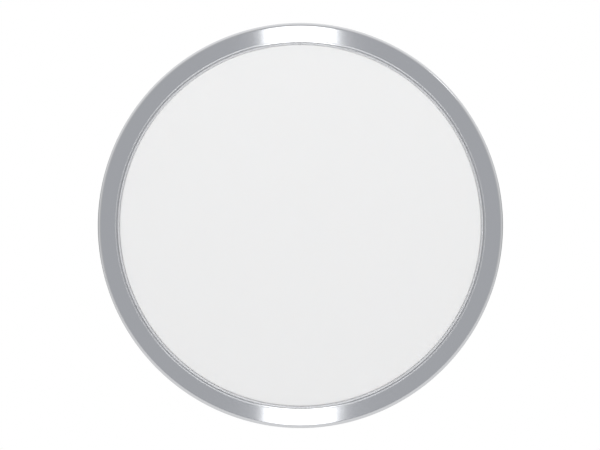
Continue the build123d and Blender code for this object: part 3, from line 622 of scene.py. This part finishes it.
def finish_materials():
    """One surface for each finish in the record, by material slot."""
    return {
        "white_cover": white_cover(),
        "polished_metal": polished_metal(),
        "bright_trim": bright_trim(),
        "white_plastic": plastic("white_plastic", (0.80, 0.80, 0.79)),
        "grey_plastic": plastic("grey_plastic", (0.46, 0.465, 0.475), 0.42),
        "dark_plastic": plastic("dark_plastic", (0.025, 0.025, 0.028), 0.45),
        "light_block": plastic("light_block", (0.70, 0.715, 0.71), 0.34, depth_mm=0.003),
        "tab_plastic": plastic("tab_plastic", (0.80, 0.23, 0.035), 0.33, depth_mm=0.003),
        "foam": foam(),
        "clear_tube": clear_tube(),
        "level_liquid": level_liquid(),
        "board": board("board", (0.012, 0.105, 0.045), (0.035, 0.20, 0.085)),
        "board_black": board("board_black", (0.012, 0.012, 0.014), (0.03, 0.03, 0.034)),
        "steel": metal("steel", (0.66, 0.66, 0.645), 0.30),
        "spring_steel": metal("spring_steel", (0.60, 0.60, 0.60), 0.24, (0.15, 1, 1)),
        "tin": metal("tin", (0.76, 0.76, 0.75), 0.34, wear=0.1),
        "gold": metal("gold", (0.95, 0.72, 0.32), 0.24),
        "brass": sounder_faces(),
        "alloy": metal("alloy", (0.80, 0.80, 0.81), 0.28, where=lathe_lines, depth_mm=0.003),
        "magnet": plastic("magnet", (0.045, 0.045, 0.047), 0.55, 0.08, 0.004),
        "chip": plastic("chip", (0.022, 0.022, 0.024), 0.5, 0.05, 0.004),
        "lamp": plastic("lamp", (0.88, 0.86, 0.70), 0.3, depth_mm=0.001),
        "cable": cable(),
        "cell": cell_sleeve("battery_lower"),
    }


# ---------------------------------------------------------------- stage
def floor():
    """Round pale floor that melts into the white room further out, and is left out of sight from below."""
    mesh = bpy.data.meshes.new("floor")
    build = bmesh.new()
    bmesh.ops.create_circle(build, cap_ends=True, radius=FLOOR_RADIUS, segments=96)
    build.to_mesh(mesh)
    build.free()
    obj = place_in_scene("floor", mesh)
    obj.location.z = FLOOR_HEIGHT
    s = Surface("floor", (0.86, 0.86, 0.86), 0.8)
    s.roughness(s.ramp(s.noise(0.02, 3.0), 0.3, 0.7, 0.75, 0.85))
    axes = s.axes()
    far = s.length(axes["X"], axes["Y"])
    fade = s.ramp(far, FLOOR_FADE[0] / MM, FLOOR_FADE[1] / MM, kind="SMOOTHSTEP")
    unseen = s.math("MAXIMUM", fade, s.node("ShaderNodeNewGeometry").outputs["Backfacing"])
    s.cover(s.node("ShaderNodeBsdfTransparent"), unseen)
    mesh.materials.append(s.material)


def soft_light(name, place, size, radiance):
    """Rectangular light aimed at the thermostat; radiance is its brightness, so power follows from area."""
    data = bpy.data.lights.new(name, "AREA")
    data.shape = "RECTANGLE"
    data.size, data.size_y = size
    data.energy = radiance * math.pi * size[0] * size[1]
    obj = place_in_scene(name, data)
    obj.location = place
    obj.rotation_mode = "QUATERNION"
    obj.rotation_quaternion = (Vector((0, 0, 0)) - Vector(place)).to_track_quat("-Z", "Y")
    obj.visible_camera = False
    return obj


def studio_brightness(world):
    """The room by direction: brightest overhead, with soft darker bands at eye level."""
    direction = world.node("ShaderNodeTexCoord").outputs["Generated"]
    way = world.node("ShaderNodeSeparateXYZ", {0: direction}).outputs
    up, back = way["Z"], way["Y"]

    def bright_but(dip, width, start, full):
        """1, less a dip round eye level that sets in towards the far side of the room."""
        level = world.math("EXPONENT", world.product(up, up, -1 / width**2))
        depth = world.ramp(back, start, full, 0.0, dip, "SMOOTHSTEP")
        return world.math("SUBTRACT", 1.0, world.product(level, depth))

    sides = world.ramp(back, -0.95, -0.1, NEAR, FAR)
    height = world.ramp(up, 0.1, 1.0, 1.0, ZENITH, "SMOOTHSTEP")
    behind = bright_but(BEHIND_DIP, 0.3, 0.35, 0.75)
    line = bright_but(EYE_LEVEL_DIP, 0.18, -0.2, 0.15)
    room = world.product(sides, height, behind, line)
    edges = [-math.cos(math.radians(angle)) for angle in AHEAD_ANGLES]
    ahead = world.ramp(back, *edges, kind="SMOOTHSTEP")
    grey = world.node("ShaderNodeCombineColor", {"Red": room, "Green": room, "Blue": room}).outputs[0]
    return world.mix(ahead, grey, AHEAD)


def studio():
    bpy.context.scene.world = bpy.data.worlds.new("studio")
    bpy.context.scene.world.use_nodes = True
    world = Nodes(bpy.context.scene.world.node_tree)
    seen = world.node("ShaderNodeBackground", {"Color": (1, 1, 1, 1)})
    lit = world.node("ShaderNodeBackground", {"Color": studio_brightness(world)})
    by_camera = world.node("ShaderNodeLightPath").outputs["Is Camera Ray"]
    both = world.node("ShaderNodeMixShader", {0: by_camera, 1: lit.outputs[0], 2: seen.outputs[0]})
    world.node("ShaderNodeOutputWorld", {"Surface": both.outputs[0]})
    soft_light("key", place=(0.76, -0.73, 0.76), size=(0.20, 0.20), radiance=2.0)
    strip_at = -(RING_FRONT * MM + CAMERA_DISTANCE + STRIP_BEHIND_CAMERA)
    soft_light("strip", place=(0, strip_at, 0), size=(0.0402, 0.44), radiance=2.2)
    # the overhead fill only shapes the matt surfaces: it is kept out of the polished ring
    fill = soft_light("fill", place=(0, -0.30, 0.42), size=(0.30, 0.30), radiance=3.45)
    fill.visible_glossy = False


def camera():
    data = bpy.data.cameras.new("camera")
    data.sensor_width = 36.0
    data.lens = data.sensor_width * CAMERA_DISTANCE / (FRAME_WIDTH_MM * MM)
    data.clip_start, data.clip_end = 0.01, 20.0
    obj = place_in_scene("camera", data)
    obj.location = (OFF_CENTRE_MM[0] * MM, -(RING_FRONT * MM + CAMERA_DISTANCE), OFF_CENTRE_MM[1] * MM)
    obj.rotation_euler = (math.pi / 2, 0, 0)
    bpy.context.scene.camera = obj


# ---------------------------------------------------------------- assembly
def dress(surfaces):
    """Gives every CAD node its finish."""
    slots = {part["node"]: part["material_slot"] for part in frame["record"]["subparts"]}
    for name, obj in nodes.items():
        obj.data.materials.clear()
        obj.data.materials.append(surfaces[slots[name]].material)
    # the upper cell lies the other way round, so its sleeve is drawn from its other end
    nodes["battery_upper"].data.materials[0] = cell_sleeve("battery_upper").material


def replace(piece, node, body, slot, surfaces):
    """Puts a finished piece in place of a CAD node, on the same body."""
    piece.data.materials.append(surfaces[slot].material)
    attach(piece, body)
    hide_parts(node)


def main():
    surfaces = finish_materials()
    dress(surfaces)
    replace(control_ring(), "control_ring", "ring", "polished_metal", surfaces)
    replace(face_cover(), "face_cover", "face", "white_cover", surfaces)
    replace(face_bezel(), "face_bezel", "face", "bright_trim", surfaces)
    springs = return_springs()
    replace(springs, "face_return_springs", "head", "spring_steel", surfaces)
    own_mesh(springs)
    for side in (-1, 1):
        numbers = terminal_numbers(side)
        numbers.data.materials.append(surfaces["dark_plastic"].material)
        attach(numbers, "wall_base")
    floor()
    studio()
    camera()
    bpy.context.scene.view_settings.view_transform = "Standard"
    bpy.context.scene.view_settings.look = "None"


main()
